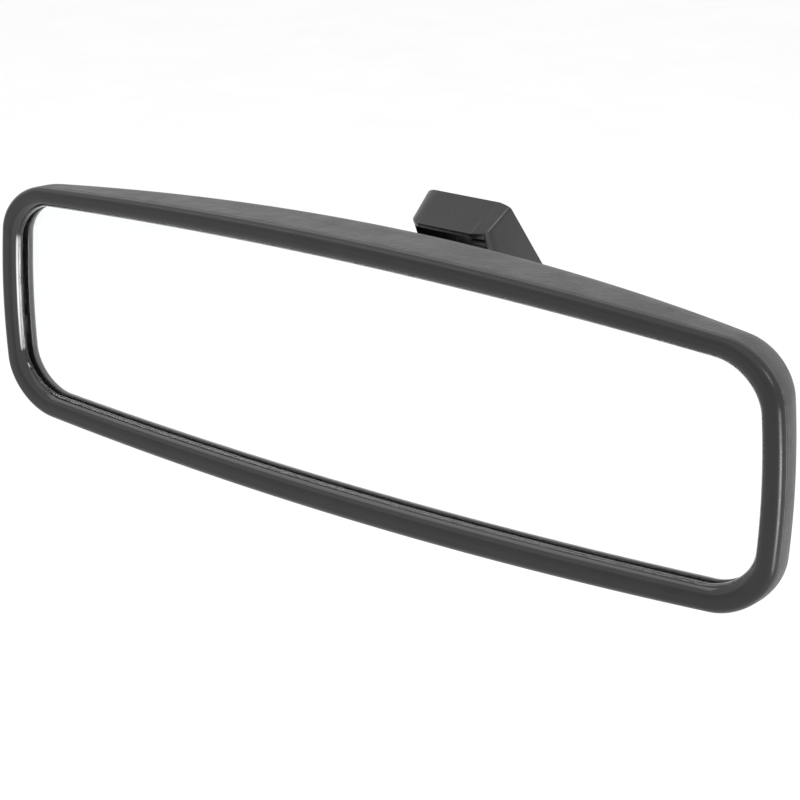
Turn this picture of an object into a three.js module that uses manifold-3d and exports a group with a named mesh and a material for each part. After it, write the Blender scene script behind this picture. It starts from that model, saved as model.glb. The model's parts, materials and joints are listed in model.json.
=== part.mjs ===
// Interior rearview mirror: a framed mirror head on a ball joint, carried by a foot that is bonded
// to a raked windscreen.
//
// Millimetres, +Z up. +X runs along the head, +Y points forward to the windscreen, and the glass
// faces -Y. The origin is the centre of the adhesive pad's outer face, where the windscreen is.
// The head's own frame has x = 0 at its middle, z = 0 at mid-height and y = 0 at the bezel's front.
// The foot's own frame is turned by the rake, so that its +Y is the windscreen's normal.

import * as THREE from "three";
import { mergeVertices } from "three/addons/utils/BufferGeometryUtils.js";
import Module from "manifold-3d";

const wasm = await Module();
wasm.setup();

// ---------------------------------------------------------------- driving dimensions

const HEAD_WIDTH = 240;
const HEAD_HEIGHT = 68.6;
const CORNER_TOP = 13.7; // corner radii of the outline before it is crowned
const CORNER_BOTTOM = 14.7;
const CROWN_TOP = 0.1285; // the share of its height that the top edge loses at the ends
const CROWN_BOTTOM = 0.139;
const SIDE_BOW = 0.0226; // the share of its reach that a side loses at the corners

const GAP = 0.3; // between pieces that touch
const LIP_WIDTH = 5.65; // bezel, from the outline to its window
const LIP_EXTRA_BELOW = 1.2; // how much wider the lip is along the bottom
const LIP_CORNER_EXTRA = 3; // how much rounder the window's corners are than an even lip's
const LIP_DEPTH = 3.1; // bezel, from its front to the glass
const OUTER_ROUNDING = 1.9;
const INNER_ROUNDING = 2.6;
const SEAM_Y = 2.1; // where the bezel's outer face ends and the housing begins
const SKIRT_INNER = 3; // the bezel's skirt, as insets from the outline
const SKIRT_OUTER = 2.1;
const SKIRT_END = 5.4;

const GLASS_THICKNESS = 1.8;
const CHROME_THICKNESS = 0.1; // the reflecting layer, on the glass's back
const FOAM_THICKNESS = 1.8;
const CARRIER_THICKNESS = 1.5;
const GLASS_Y = LIP_DEPTH + GAP / 2;
const CHROME_Y = GLASS_Y + GLASS_THICKNESS + GAP / 2;
const FOAM_Y = CHROME_Y + CHROME_THICKNESS + GAP;
const CARRIER_Y = FOAM_Y + FOAM_THICKNESS + GAP;
const CARRIER_BACK = CARRIER_Y + CARRIER_THICKNESS;
const FOAM = { halfWidth: 98, halfHeight: 25, corner: 10 };
const CARRIER = { halfWidth: 92, halfHeight: 22, corner: 9 };
const CARRIER_WINDOWS = [
  { from: -86, to: -70 },
  { from: -54, to: -24 },
  { from: 24, to: 54 },
  { from: 70, to: 86 },
];
const CARRIER_WINDOW = { halfHeight: 13, corner: 3 };

const SHELL = 1.4; // housing wall
const WALL_END = 2.6; // depth of the housing's side wall before it rounds, at the ends
const WALL_MIDDLE = 15.8; // and at the middle
const ROUND_END = 10.8; // depth of that rounding, at the ends
const ROUND_MIDDLE = 11.5; // and at the middle
const ROUND_SPREAD = 0.87; // how wide the rounding is for its depth
const DRAFT = 0.02;
const BACK_CROWN = 1.2;
const BACK_RINGS = [0.8, 0.55, 0.3, 0.1]; // the back's inner rings, as shares of its outline
const HOUSING_BOSS_RADIUS = 3.4;
const SCREW_HOLE_RADIUS = 1.6;

const BALL_RADIUS = 7.5;
const BALL_Y = 21; // in the head's frame, on its x = z = 0 line
const LINER_INNER = BALL_RADIUS + GAP;
const LINER_OUTER = 9;
const SOCKET_INNER = LINER_OUTER + GAP;
const SOCKET_OUTER = 11.2;
const MOUTH_ANGLE = 58; // degrees from +Y, where liner and socket stop around the arm
const LINER_END_ANGLE = 96;
const CUP_START_ANGLE = 114;
const NECK_RADIUS = 4;
const STALK_RADIUS = 6;
const ARM_OPENING_RADIUS = 10.8;
const FLANGE_Y = CARRIER_BACK + 1.9; // the socket cap's flange
const FLANGE_THICKNESS = 1.8;
const DISC_SPRING = { outer: 8, hole: 3, thickness: 0.7 };
const SPRING_SEAT = { outer: 10.4, inner: 8.8, height: 0.9 }; // the ring that centres it

const FOOT_WIDTH = 26; // on the windscreen
const FOOT_TAPER = 0.12; // what each side leans in for its distance from the windscreen
const FOOT_TOP = 24.9; // ends of the foot along the windscreen
const FOOT_BOTTOM = -24;
const FOOT_WALL = 1;
const FOOT_DEPTH = 31; // how far from the windscreen the foot's outline is carried
const NOSE = { y: -11.3, rise: 0.3, corner: 4.5 }; // the cover's front edge at its top
const TOP_EDGE = { flat: 8.8, drop: 6.8, corner: 1.3 };
const TAIL_CORNER = 3;
const RAKE = 38; // degrees between the windscreen's normal and horizontal
const HEAD_TO_FOOT_Y = 60.8; // from the head's frame to the pad's centre
const HEAD_TO_FOOT_Z = 17.4;

const PAD = { halfWidth: 10, halfLength: 21, corner: 3, thickness: 0.8 };
const PLATE = { halfWidth: 8.4, halfLength: 18, thickness: 2.5, bevel: 1.2 };
const LEAF = { halfWidth: 3, halfLength: 12, corner: 1, thickness: 0.4, slot: 3.5 };
const LOCK_SCREW = { radius: 2, length: 5, z: 2, bore: 2.4, key: 1.1, keyDepth: 1.5 };
const ARM_BASE_GAP = 0.9; // between the arm's base and the cover's walls
const STALK_END_Y = -4; // where the stalk ends inside the base

const SOCKET_SCREW_RING = 15;
const SOCKET_SCREW = { shank: 1.2, head: 2.7, headTop: 1.9, headHeight: 1.6, headEdge: 0.5 };
const SOCKET_BOSS_RADIUS = 3;
const CARRIER_SCREW_X = 62;
const CARRIER_SCREW_Z = 14;
const CARRIER_SCREW = { shank: 1.2, head: 2.5, length: 8, sink: 0.1 };
const RECESS = { width: 2.8, depth: 1.6, slot: 0.7 }; // the cross in a screw's head
const SCREW_CLEARANCE = 0.35;

const LATHE_STEPS = 28;
const SCREW_STEPS = 14;

// ---------------------------------------------------------------- finishes

const finish = (color, roughness, metalness = 0) =>
  new THREE.MeshStandardMaterial({ color, roughness, metalness });

const bezelPlastic = finish(0x3a3a3c, 0.5);
const housingPlastic = finish(0x4c4c4e, 0.7);
const footPlastic = finish(0x2f2f31, 0.55);
const innerPlastic = finish(0xd8d6cf, 0.5);
const clearGlass = finish(0xe6f0ee, 0.02);
const chrome = finish(0xf2f4f5, 0.03, 1);
const foam = finish(0x26282a, 0.95);
const castMetal = finish(0x55575a, 0.45, 0.8);
const springSteel = finish(0x9a9da1, 0.3, 1);
const screwSteel = finish(0xc0c2c4, 0.35, 1);
const adhesive = finish(0x18191a, 0.9);

// ---------------------------------------------------------------- solids

const radians = THREE.MathUtils.degToRad;

function toSolid(geometry) {
  const bare = geometry.clone();
  bare.deleteAttribute("normal");
  bare.deleteAttribute("uv");
  const merged = mergeVertices(bare, 1e-4);
  const mesh = new wasm.Mesh({
    numProp: 3,
    vertProperties: new Float32Array(merged.attributes.position.array),
    triVerts: new Uint32Array(merged.index.array),
  });
  return new wasm.Manifold(mesh);
}

function toGeometry(solid) {
  const { vertProperties, triVerts } = solid.getMesh();
  const geometry = new THREE.BufferGeometry();
  geometry.setAttribute("position", new THREE.BufferAttribute(vertProperties, 3));
  geometry.setIndex(new THREE.BufferAttribute(triVerts, 1));
  geometry.computeVertexNormals();
  return geometry;
}

function cut(geometry, ...tools) {
  return toGeometry(tools.reduce((solid, tool) => solid.subtract(toSolid(tool)), toSolid(geometry)));
}

function common(geometry, other) {
  return toGeometry(toSolid(geometry).intersect(toSolid(other)));
}

function join(geometry, ...others) {
  return toGeometry(others.reduce((solid, other) => solid.add(toSolid(other)), toSolid(geometry)));
}

function named(name, geometry, material) {
  const mesh = new THREE.Mesh(geometry, material);
  mesh.name = name;
  return mesh;
}

// A shape drawn as (x, z) and extruded along +Y from the given y.
function slab(shape, y, thickness) {
  const options = { depth: thickness, bevelEnabled: false, curveSegments: 5 };
  return new THREE.ExtrudeGeometry(shape, options).rotateX(Math.PI / 2).translate(0, y + thickness, 0);
}

// An outline drawn as (y, z), extruded along X and centred on x = 0. A bevel rounds its two ends.
function prismX(outline, width, bevel = 0) {
  const shape = new THREE.Shape(outline.map(([y, z]) => new THREE.Vector2(y, z)));
  const geometry = new THREE.ExtrudeGeometry(shape, {
    depth: width - 2 * bevel,
    bevelEnabled: bevel > 0,
    bevelThickness: bevel,
    bevelSize: bevel,
    bevelOffset: -bevel,
    bevelSegments: 2,
  });
  const turn = new THREE.Matrix4().makeBasis(
    new THREE.Vector3(0, 1, 0),
    new THREE.Vector3(0, 0, 1),
    new THREE.Vector3(1, 0, 0),
  );
  return geometry.translate(0, 0, bevel - width / 2).applyMatrix4(turn);
}

function roundedRectangle(halfX, halfZ, radius) {
  const shape = new THREE.Shape();
  shape.moveTo(radius - halfX, -halfZ);
  shape.lineTo(halfX - radius, -halfZ);
  shape.absarc(halfX - radius, radius - halfZ, radius, -Math.PI / 2, 0);
  shape.lineTo(halfX, halfZ - radius);
  shape.absarc(halfX - radius, halfZ - radius, radius, 0, Math.PI / 2);
  shape.lineTo(radius - halfX, halfZ);
  shape.absarc(radius - halfX, halfZ - radius, radius, Math.PI / 2, Math.PI);
  shape.lineTo(-halfX, radius - halfZ);
  shape.absarc(radius - halfX, radius - halfZ, radius, Math.PI, 1.5 * Math.PI);
  return shape;
}

const rodY = (radius, length, y, steps = SCREW_STEPS) =>
  new THREE.CylinderGeometry(radius, radius, length, steps).translate(0, y + length / 2, 0);

// ---------------------------------------------------------------- the head's outline

const CORNER_STEPS = 8;
const LONG_STEPS = 20;
const SHORT_STEPS = 4;

// The crown bends a rounded rectangle's point into the head's outline.
function crowned(x, z) {
  const crown = z > 0 ? CROWN_TOP : CROWN_BOTTOM;
  const alongX = (2 * x) / HEAD_WIDTH;
  const alongZ = (2 * z) / HEAD_HEIGHT;
  return [x * (1 - SIDE_BOW * alongZ ** 2), z * (1 - crown * alongX ** 2)];
}

// How far an inset reaches across the lip, from 0 at the skirt to 1 at the window's edge.
const lipShare = (inset) => Math.max(0, (inset - SKIRT_INNER) / (LIP_WIDTH - SKIRT_INNER));

// The outline's points before the crown, counter-clockwise, with the angle that each one faces.
function flatOutline(inset) {
  const share = lipShare(inset);
  const halfX = HEAD_WIDTH / 2 - inset;
  const top = HEAD_HEIGHT / 2 - inset;
  const bottom = top - LIP_EXTRA_BELOW * share;
  const rounder = LIP_CORNER_EXTRA * share - inset;
  const corners = [
    { sx: 1, sz: 1, halfZ: top, radius: CORNER_TOP + rounder, start: 0 },
    { sx: -1, sz: 1, halfZ: top, radius: CORNER_TOP + rounder, start: 90 },
    { sx: -1, sz: -1, halfZ: bottom, radius: CORNER_BOTTOM + rounder, start: 180 },
    { sx: 1, sz: -1, halfZ: bottom, radius: CORNER_BOTTOM + rounder, start: 270 },
  ];
  const around = ({ sx, sz, halfZ, radius }, angle) => ({
    x: sx * (halfX - radius) + radius * Math.cos(angle),
    z: sz * (halfZ - radius) + radius * Math.sin(angle),
    angle,
  });
  return corners.flatMap((corner, side) => {
    const arc = [];
    for (let step = 0; step <= CORNER_STEPS; step++) {
      arc.push(around(corner, radians(corner.start + (90 * step) / CORNER_STEPS)));
    }
    const from = arc.at(-1);
    const to = around(corners[(side + 1) % corners.length], from.angle);
    const steps = side % 2 ? SHORT_STEPS : LONG_STEPS;
    const edge = [];
    for (let step = 1; step < steps; step++) {
      const t = step / steps;
      edge.push({ x: from.x + (to.x - from.x) * t, z: from.z + (to.z - from.z) * t, angle: from.angle });
    }
    return [...arc, ...edge];
  });
}

const ringAt = (inset, y) =>
  flatOutline(inset).map(({ x, z }) => {
    const [bentX, bentZ] = crowned(x, z);
    return [bentX, y, bentZ];
  });

// The outline moved in along its normals by inset(x), as [x, z].
const insetOutline = (inset) =>
  flatOutline(0).map(({ x, z, angle }) =>
    crowned(x - inset(x) * Math.cos(angle), z - inset(x) * Math.sin(angle)),
  );

// Joins rings of points into a closed surface: end to end in a torus, or with its ends capped.
function loft(rings, isTorus) {
  const count = rings[0].length;
  const positions = rings.flat(2);
  const index = [];
  const last = isTorus ? rings.length : rings.length - 1;
  for (let ring = 0; ring < last; ring++) {
    const next = (ring + 1) % rings.length;
    for (let i = 0; i < count; i++) {
      const j = (i + 1) % count;
      const [a, b, c, d] = [ring * count + i, ring * count + j, next * count + j, next * count + i];
      index.push(a, b, c, a, c, d);
    }
  }
  if (!isTorus) {
    const cap = (ring, order) => {
      const middle = positions.length / 3;
      const mean = [0, 1, 2].map((axis) => rings[ring].reduce((sum, p) => sum + p[axis] / count, 0));
      positions.push(...mean);
      for (let i = 0; i < count; i++) {
        const edge = [ring * count + ((i + 1) % count), ring * count + i];
        index.push(middle, edge[order], edge[1 - order]);
      }
    };
    cap(0, 0);
    cap(rings.length - 1, 1);
  }
  const geometry = new THREE.BufferGeometry();
  geometry.setAttribute("position", new THREE.Float32BufferAttribute(positions, 3));
  geometry.setIndex(index);
  geometry.computeVertexNormals();
  return geometry;
}

// ---------------------------------------------------------------- head: bezel and glass

function frontBezel() {
  const turns = [0, 30, 60, 90].map((angle) => [1 - Math.cos(radians(angle)), 1 - Math.sin(radians(angle))]);
  const section = [
    [0, SEAM_Y],
    ...turns.map(([a, b]) => [OUTER_ROUNDING * a, OUTER_ROUNDING * b]),
    ...turns.map(([a, b]) => [LIP_WIDTH - INNER_ROUNDING * b, INNER_ROUNDING * a]),
    [LIP_WIDTH, LIP_DEPTH],
    [SKIRT_INNER, LIP_DEPTH],
    [SKIRT_INNER, SKIRT_END],
    [SKIRT_OUTER, SKIRT_END],
    [SKIRT_OUTER, SEAM_Y],
  ];
  const rings = section.map(([inset, y]) => ringAt(inset, y));
  return named("front_bezel", loft(rings, true), bezelPlastic);
}

// A plate's inset is measured along the outline's normals, so that its edge follows the skirt.
const plateRing = (inset, y) => insetOutline(() => inset).map(([x, z]) => [x, y, z]);

function mirrorGlass() {
  const inset = SKIRT_INNER + GAP;
  const chamfer = 0.3;
  const back = GLASS_Y + GLASS_THICKNESS;
  const rings = [
    plateRing(inset, back),
    plateRing(inset, GLASS_Y + chamfer),
    plateRing(inset + chamfer, GLASS_Y),
  ];
  return named("mirror_glass", loft(rings, false), clearGlass);
}

function chromeLayer() {
  const inset = SKIRT_INNER + 2 * GAP;
  const rings = [plateRing(inset, CHROME_Y + CHROME_THICKNESS), plateRing(inset, CHROME_Y)];
  return named("chrome_layer", loft(rings, false), chrome);
}

function backingFoam() {
  const pad = roundedRectangle(FOAM.halfWidth, FOAM.halfHeight, FOAM.corner);
  return named("backing_foam", slab(pad, FOAM_Y, FOAM_THICKNESS), foam);
}

// ---------------------------------------------------------------- head: housing

// 1 at the middle of the head and 0 at its ends.
const swell = (x) => Math.max(0, 1 - (x / (HEAD_WIDTH / 2 - 2)) ** 2);
const wallDepth = (x) => WALL_END + (WALL_MIDDLE - WALL_END) * swell(x);
const rounding = (x) => ROUND_END + (ROUND_MIDDLE - ROUND_END) * swell(x);

const socketScrewSpots = [45, 135, 225, 315].map((angle) => [
  SOCKET_SCREW_RING * Math.cos(radians(angle)),
  SOCKET_SCREW_RING * Math.sin(radians(angle)),
]);
const carrierScrewSpots = [
  [CARRIER_SCREW_X, CARRIER_SCREW_Z],
  [-CARRIER_SCREW_X, CARRIER_SCREW_Z],
  [-CARRIER_SCREW_X, -CARRIER_SCREW_Z],
  [CARRIER_SCREW_X, -CARRIER_SCREW_Z],
];

// The rings of one skin of the housing, from its rim to the middle of its back. A skin lies
// `offset` inside the outer surface.
function skinRings(offset) {
  const rings = [plateRing(offset, SEAM_Y + GAP)];
  for (const angle of [0, 15, 30, 45, 60, 75, 90]) {
    const across = 1 - Math.cos(radians(angle));
    const along = Math.sin(radians(angle));
    const inset = (x) =>
      offset + DRAFT * wallDepth(x) + (ROUND_SPREAD * rounding(x) - offset) * across;
    const depth = (x) => wallDepth(x) + (rounding(x) - offset) * along;
    rings.push(insetOutline(inset).map(([x, z]) => [x, depth(x), z]));
  }
  const edge = rings.at(-1);
  for (const scale of BACK_RINGS) {
    const crown = BACK_CROWN * (1 - scale ** 2) ** 2;
    rings.push(
      edge.map(([x, , z]) => {
        const inner = x * scale;
        return [inner, wallDepth(inner) + rounding(inner) - offset + crown * swell(inner), z * scale];
      }),
    );
  }
  return rings;
}

function rearHousing() {
  const skin = loft([...skinRings(0).reverse(), ...skinRings(SHELL)], false);
  const bossTop = CARRIER_BACK + GAP;
  const wallAtBoss = wallDepth(CARRIER_SCREW_X) + rounding(CARRIER_SCREW_X) - SHELL / 2;
  const bosses = carrierScrewSpots.map(([x, z]) =>
    rodY(HOUSING_BOSS_RADIUS, wallAtBoss - bossTop, bossTop).translate(x, 0, z),
  );
  const holeDepth = 7.5;
  const screwHoles = carrierScrewSpots.map(([x, z]) =>
    rodY(SCREW_HOLE_RADIUS, holeDepth + 1, bossTop - 1).translate(x, 0, z),
  );
  const armOpening = rodY(ARM_OPENING_RADIUS, 10, BALL_Y + 3, LATHE_STEPS);
  return named("rear_housing", cut(join(skin, ...bosses), armOpening, ...screwHoles), housingPlastic);
}

// ---------------------------------------------------------------- head: carrier and screws

// A countersunk screw's outline, from the head's face at y = 0 towards +Y.
function countersunkProfile(grow) {
  const { shank, head, length } = CARRIER_SCREW;
  return [
    [0, -grow],
    [head + grow, -grow],
    [shank + grow, head - shank],
    [shank + grow, length - 1],
    [0, length],
  ];
}

const latheY = (profile, steps) =>
  new THREE.LatheGeometry(profile.map(([r, y]) => new THREE.Vector2(r, y)), steps);

function crossRecess() {
  const arms = [0, 90].map((turn) =>
    new THREE.BoxGeometry(RECESS.width, RECESS.depth, RECESS.slot).rotateY(radians(turn)),
  );
  return join(...arms);
}

function carrierScrew(number, [x, z]) {
  const body = latheY(countersunkProfile(0), SCREW_STEPS);
  const screw = named(`carrier_screw_${number}`, cut(body, crossRecess()), screwSteel);
  screw.position.set(x, CARRIER_Y + CARRIER_SCREW.sink, z);
  return screw;
}

function socketScrew(number, [x, z]) {
  const { shank, head, headTop, headHeight, headEdge } = SOCKET_SCREW;
  const underHead = FLANGE_Y + FLANGE_THICKNESS + GAP;
  const reach = underHead - CARRIER_Y - GAP;
  const body = latheY(
    [
      [0, -reach],
      [shank, shank / 2 - reach],
      [shank, 0],
      [head, 0],
      [head, headHeight - headEdge],
      [headTop, headHeight],
      [0, headHeight],
    ],
    SCREW_STEPS,
  );
  const recess = crossRecess().translate(0, headHeight, 0);
  const screw = named(`socket_screw_${number}`, cut(body, recess), screwSteel);
  screw.position.set(x, underHead, z);
  return screw;
}

function carrierPlate() {
  const root = 0.5; // how far the bosses and the spring's seat reach into the plate
  const plate = roundedRectangle(CARRIER.halfWidth, CARRIER.halfHeight, CARRIER.corner);
  for (const { from, to } of CARRIER_WINDOWS) {
    const window = roundedRectangle((to - from) / 2, CARRIER_WINDOW.halfHeight, CARRIER_WINDOW.corner);
    const corners = window.getPoints(4).map((p) => new THREE.Vector2(p.x + (from + to) / 2, p.y));
    plate.holes.push(new THREE.Path(corners));
  }
  const bossHeight = FLANGE_Y - GAP - CARRIER_BACK;
  const bosses = socketScrewSpots.map(([x, z]) =>
    rodY(SOCKET_BOSS_RADIUS, bossHeight + root, CARRIER_BACK - root).translate(x, 0, z),
  );
  const springSeat = cut(
    rodY(SPRING_SEAT.outer, SPRING_SEAT.height + root, CARRIER_BACK - root, LATHE_STEPS),
    rodY(SPRING_SEAT.inner, FLANGE_Y, CARRIER_BACK, LATHE_STEPS),
  );
  const holeRadius = SOCKET_SCREW.shank + SCREW_CLEARANCE;
  const sunkY = CARRIER_Y + CARRIER_SCREW.sink;
  const holes = [
    ...socketScrewSpots.map(([x, z]) => rodY(holeRadius, FLANGE_Y, 0).translate(x, 0, z)),
    ...carrierScrewSpots.map(([x, z]) =>
      latheY(countersunkProfile(SCREW_CLEARANCE), SCREW_STEPS).translate(x, sunkY, z),
    ),
  ];
  const blank = join(slab(plate, CARRIER_Y, CARRIER_THICKNESS), ...bosses, springSeat);
  return named("carrier_plate", cut(blank, ...holes), innerPlastic);
}

// ---------------------------------------------------------------- ball joint

// Points of an arc about the ball's centre, with angles in degrees from +Y.
function arc(radius, from, to, steps) {
  const points = [];
  for (let step = 0; step <= steps; step++) {
    const angle = radians(from + ((to - from) * step) / steps);
    points.push([radius * Math.sin(angle), radius * Math.cos(angle)]);
  }
  return points;
}

function ballPiece(name, profile, material) {
  const piece = named(name, latheY(profile, LATHE_STEPS), material);
  piece.position.y = BALL_Y;
  return piece;
}

function ballLiner() {
  const inner = arc(LINER_INNER, MOUTH_ANGLE, LINER_END_ANGLE, 4);
  const outer = arc(LINER_OUTER, LINER_END_ANGLE, MOUTH_ANGLE, 4);
  return ballPiece("ball_liner", [...inner, ...outer, inner[0]], innerPlastic);
}

function pressureCup() {
  const inner = arc(LINER_INNER, CUP_START_ANGLE, 180, 5).slice(0, -1);
  const outer = arc(LINER_OUTER, 180, CUP_START_ANGLE, 5).slice(1);
  const profile = [[0, -LINER_INNER], ...inner.reverse(), ...outer.reverse(), [0, -LINER_OUTER]];
  return ballPiece("pressure_cup", profile.reverse(), innerPlastic);
}

function socketCap() {
  const fillet = 0.8;
  const flangeRadius = SOCKET_SCREW_RING + 4;
  const flangeBottom = FLANGE_Y - BALL_Y;
  const flangeTop = flangeBottom + FLANGE_THICKNESS;
  const mouth = arc(SOCKET_INNER, MOUTH_ANGLE, 90, 4);
  const profile = [
    ...mouth,
    [SOCKET_INNER, flangeBottom],
    [flangeRadius, flangeBottom],
    [flangeRadius, flangeTop],
    [SOCKET_OUTER + fillet, flangeTop],
    [SOCKET_OUTER, flangeTop + fillet],
    [SOCKET_OUTER, 0],
    ...arc(SOCKET_OUTER, 76, MOUTH_ANGLE, 2),
    mouth[0],
  ];
  const holes = socketScrewSpots.map(([x, z]) =>
    rodY(SCREW_HOLE_RADIUS, 3 * FLANGE_THICKNESS, flangeBottom - FLANGE_THICKNESS).translate(x, 0, z),
  );
  const piece = named("socket_cap", cut(latheY(profile, LATHE_STEPS), ...holes), innerPlastic);
  piece.position.y = BALL_Y;
  return piece;
}

// A coned washer that presses the cup onto the ball.
function discSpring() {
  const { outer, hole, thickness } = DISC_SPRING;
  const base = CARRIER_BACK + GAP;
  const cupAtHole = BALL_Y - Math.sqrt(LINER_OUTER ** 2 - hole ** 2) - GAP;
  const profile = [
    [outer, base],
    [outer, base + thickness],
    [hole, cupAtHole],
    [hole, cupAtHole - thickness],
    [outer, base],
  ];
  return named("disc_spring", latheY(profile, LATHE_STEPS), springSteel);
}

// ---------------------------------------------------------------- foot
// In the foot's own frame, y = 0 is the windscreen, -Y is towards the driver and +Z is up the glass.

const PLATE_NEAR = -(PAD.thickness + GAP); // the plate's face on the pad
const PLATE_FAR = PLATE_NEAR - PLATE.thickness;
const CHANNEL_Y = PLATE_FAR - 2 * GAP - LEAF.thickness; // ceiling of the channel in the arm's base

function adhesivePad() {
  const pad = roundedRectangle(PAD.halfWidth, PAD.halfLength, PAD.corner);
  return named("adhesive_pad", slab(pad, -PAD.thickness, PAD.thickness), adhesive);
}

// A section drawn as (x, y) and extruded along +Z.
function alongFoot(section, from, to) {
  const shape = new THREE.Shape(section.map(([x, y]) => new THREE.Vector2(x, y)));
  const geometry = new THREE.ExtrudeGeometry(shape, { depth: to - from, bevelEnabled: false });
  return geometry.translate(0, 0, from);
}

// The plate is wider on the driver's side, so that the arm's base hooks behind it.
function plateSection(grow) {
  const far = PLATE.halfWidth + grow;
  const near = far - PLATE.bevel;
  return [
    [-near, PLATE_NEAR + grow],
    [-far, PLATE_FAR - grow],
    [far, PLATE_FAR - grow],
    [near, PLATE_NEAR + grow],
  ];
}

const windscreenPlate = () =>
  named("windscreen_plate", alongFoot(plateSection(0), -PLATE.halfLength, PLATE.halfLength), screwSteel);

function retainingSpring() {
  const leaf = roundedRectangle(LEAF.halfWidth, LEAF.halfLength, LEAF.corner);
  const y = PLATE_FAR - GAP - LEAF.thickness;
  return named("retaining_spring", slab(leaf, y, LEAF.thickness), springSteel);
}

function lockingScrew() {
  const { radius, length, z, key, keyDepth } = LOCK_SCREW;
  const socket = rodY(key, 2 * keyDepth, -keyDepth, 6);
  const screw = named("locking_screw", cut(rodY(radius, length, 0), socket), screwSteel);
  screw.position.set(0, CHANNEL_Y - length, z);
  return screw;
}

// Leans the two sides of a piece in by the foot's taper. halfWidth is the piece's at the windscreen.
function tapered(geometry, halfWidth) {
  const position = geometry.getAttribute("position");
  for (let i = 0; i < position.count; i++) {
    position.setX(i, position.getX(i) * (1 + (FOOT_TAPER * position.getY(i)) / halfWidth));
  }
  return geometry;
}

const ARM_BASE = [
  [-1.4, -20],
  [-10, -20],
  [-18, -16.5],
  [-18, -4],
  [-9, 7],
  [-1.4, 7],
];

// One casting: the ball, its stalk and the base that slides over the windscreen plate.
function mountingArm(footFrame, headFrame) {
  const halfWidth = FOOT_WIDTH / 2 - FOOT_WALL - ARM_BASE_GAP;
  const base = tapered(prismX(ARM_BASE, 2 * halfWidth), halfWidth).applyMatrix4(footFrame);
  const stalkEnd = HEAD_TO_FOOT_Y + STALK_END_Y - BALL_Y;
  const ball = arc(BALL_RADIUS, 180, 36, 9).slice(1);
  const stalk = latheY(
    [
      [0, -BALL_RADIUS],
      ...ball,
      [NECK_RADIUS, BALL_RADIUS + 1.5],
      [STALK_RADIUS, BALL_RADIUS + 12],
      [STALK_RADIUS, stalkEnd],
      [0, stalkEnd],
    ],
    LATHE_STEPS,
  );
  stalk.translate(0, BALL_Y, 0).applyMatrix4(headFrame);
  const springSlot = [
    [-LEAF.slot, CHANNEL_Y],
    [LEAF.slot, CHANNEL_Y],
    [LEAF.slot, 0],
    [-LEAF.slot, 0],
  ];
  const tools = [
    alongFoot(plateSection(GAP), FOOT_BOTTOM, FOOT_TOP),
    alongFoot(springSlot, FOOT_BOTTOM, FOOT_TOP),
    rodY(LOCK_SCREW.bore, 20, -20).translate(0, 0, LOCK_SCREW.z),
  ];
  const placed = tools.map((tool) => tool.applyMatrix4(footFrame));
  return named("mounting_arm", cut(join(base, stalk), ...placed), castMetal);
}

const COVER_RIM = -0.4; // stands just clear of the windscreen
const COVER_OUTER = [
  [COVER_RIM, FOOT_TOP],
  [NOSE.y, FOOT_TOP + NOSE.rise],
  [-22.5, -13],
  [-22.4, -15.6],
  [-20.9, -18.2],
  [-18, -20.5],
  [-9, FOOT_BOTTOM],
  [COVER_RIM, FOOT_BOTTOM],
];
const COVER_INNER = [
  [1, FOOT_TOP - FOOT_WALL],
  [-30, FOOT_TOP - FOOT_WALL + 3 * NOSE.rise],
  [-30, -14],
  [-20.8, -15],
  [-19.6, -17.1],
  [-17.2, -19.3],
  [-8.6, FOOT_BOTTOM + FOOT_WALL],
  [1, FOOT_BOTTOM + FOOT_WALL],
];

// The foot seen square to the windscreen, `inset` inside its outline. Its top edge drops at both
// sides on a large radius that runs into a small one.
function footOutline(inset) {
  const { flat, drop, corner } = TOP_EDGE;
  const half = FOOT_WIDTH / 2;
  const top = FOOT_TOP;
  const turn = Math.acos((half - corner - flat) / (drop - corner));
  const cornerZ = top - drop + (drop - corner) * Math.sin(turn);
  const tail = { x: half - TAIL_CORNER, z: FOOT_BOTTOM + TAIL_CORNER, radius: TAIL_CORNER - inset };
  const shape = new THREE.Shape();
  shape.absarc(tail.x, tail.z, tail.radius, -Math.PI / 2, 0);
  shape.absarc(half - corner, cornerZ, corner - inset, 0, turn);
  shape.absarc(flat, top - drop, drop - inset, turn, Math.PI / 2);
  shape.absarc(-flat, top - drop, drop - inset, Math.PI / 2, Math.PI - turn);
  shape.absarc(corner - half, cornerZ, corner - inset, Math.PI - turn, Math.PI);
  shape.absarc(-tail.x, tail.z, tail.radius, Math.PI, 1.5 * Math.PI);
  return shape;
}

// That outline as a block, which climbs towards the nose as the foot's top does.
function footBlock(inset, depth) {
  const block = slab(footOutline(inset), -depth, depth + inset);
  const slope = NOSE.rise / (COVER_RIM - NOSE.y);
  const position = block.getAttribute("position");
  for (let i = 0; i < position.count; i++) {
    position.setZ(i, position.getZ(i) + slope * (COVER_RIM - position.getY(i)));
  }
  return block;
}

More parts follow.
